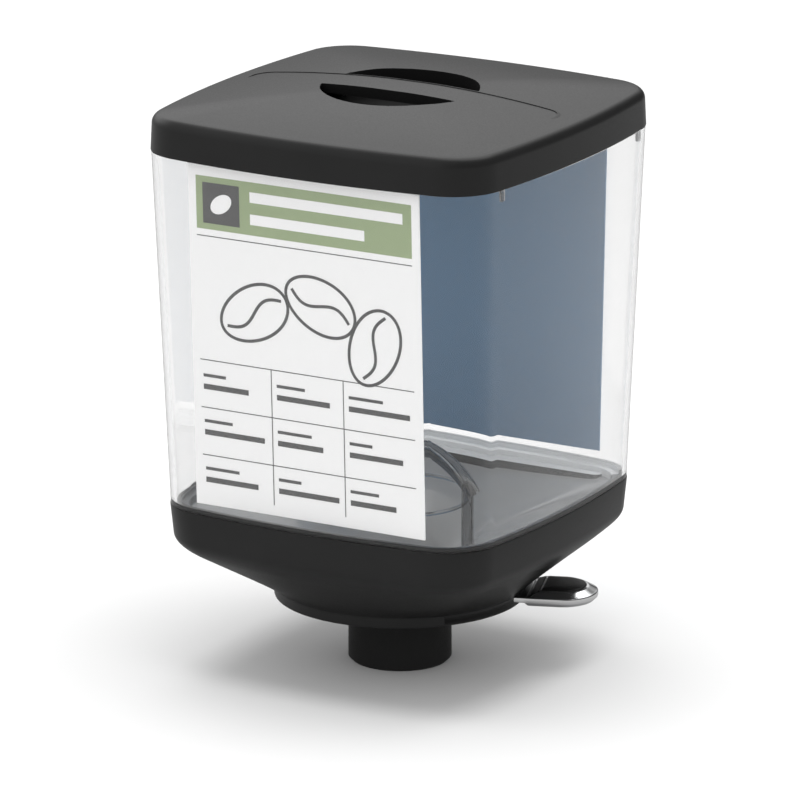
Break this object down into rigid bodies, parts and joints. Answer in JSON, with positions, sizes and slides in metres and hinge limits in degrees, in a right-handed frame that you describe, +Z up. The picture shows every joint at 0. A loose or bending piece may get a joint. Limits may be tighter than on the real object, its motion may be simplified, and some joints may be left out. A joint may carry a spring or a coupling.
{
  "type": "coffee bean hopper",
  "caption": "Square clear bean hopper for an espresso grinder, with a lift-off lid, card pockets, a rotary shutter worked by a side lever, and a round outlet neck.",
  "frame": {"origin": "on the neck's axis at its lower end, which is also the bottom centre of the box", "axes": "+Z up along the neck, -Y towards the front card, +X towards the side that carries the lever"},
  "size_m": [0.19, 0.19, 0.2761],
  "materials": {
    "black_abs": "moulded matt black ABS",
    "clear_polycarbonate": "clear injection-moulded polycarbonate",
    "printed_card": "matt printed card",
    "blue_card": "plain slate blue card",
    "smoked_plastic": "glossy grey polycarbonate",
    "dark_acetal": "machined dark acetal",
    "chromed_zinc": "satin chromed zinc casting",
    "pad_plastic": "fine grained black plastic",
    "zinc_steel": "zinc plated steel",
    "seal_rubber": "black silicone"
  },
  "bodies": {
    "hopper": {"hopper_body": "clear_polycarbonate", "lid_guides": "clear_polycarbonate", "front_card_holder": "clear_polycarbonate", "front_card": "printed_card", "rear_card_holder": "clear_polycarbonate", "rear_card": "blue_card", "base_housing": "black_abs", "funnel_tray": "smoked_plastic", "funnel_screws": "zinc_steel", "finger_guard": "clear_polycarbonate", "guard_screws": "zinc_steel", "spout_seal": "seal_rubber", "shutter_seat": "dark_acetal", "pivot_bolt": "zinc_steel", "pivot_washer": "zinc_steel", "pivot_nut": "zinc_steel", "outlet_neck": "black_abs", "outlet_screws": "zinc_steel"},
    "shutter": {"shutter_disc": "dark_acetal", "lever_frame": "chromed_zinc", "lever_pad": "pad_plastic", "lever_rivets": "zinc_steel"},
    "lid": {"lid_shell": "black_abs", "lid_pocket_tray": "black_abs"}
  },
  "joints": [
    {"name": "shutter_turn", "type": "hinge", "parent": "hopper", "child": "shutter", "pos_m": [0, 0, 0.0359], "axis": [0, 0, 1], "range_deg": [-41, 0]},
    {"name": "lid_lift", "type": "slide", "parent": "hopper", "child": "lid", "axis": [0, 0, 1], "range_m": [0, 0.12]}
  ]
}
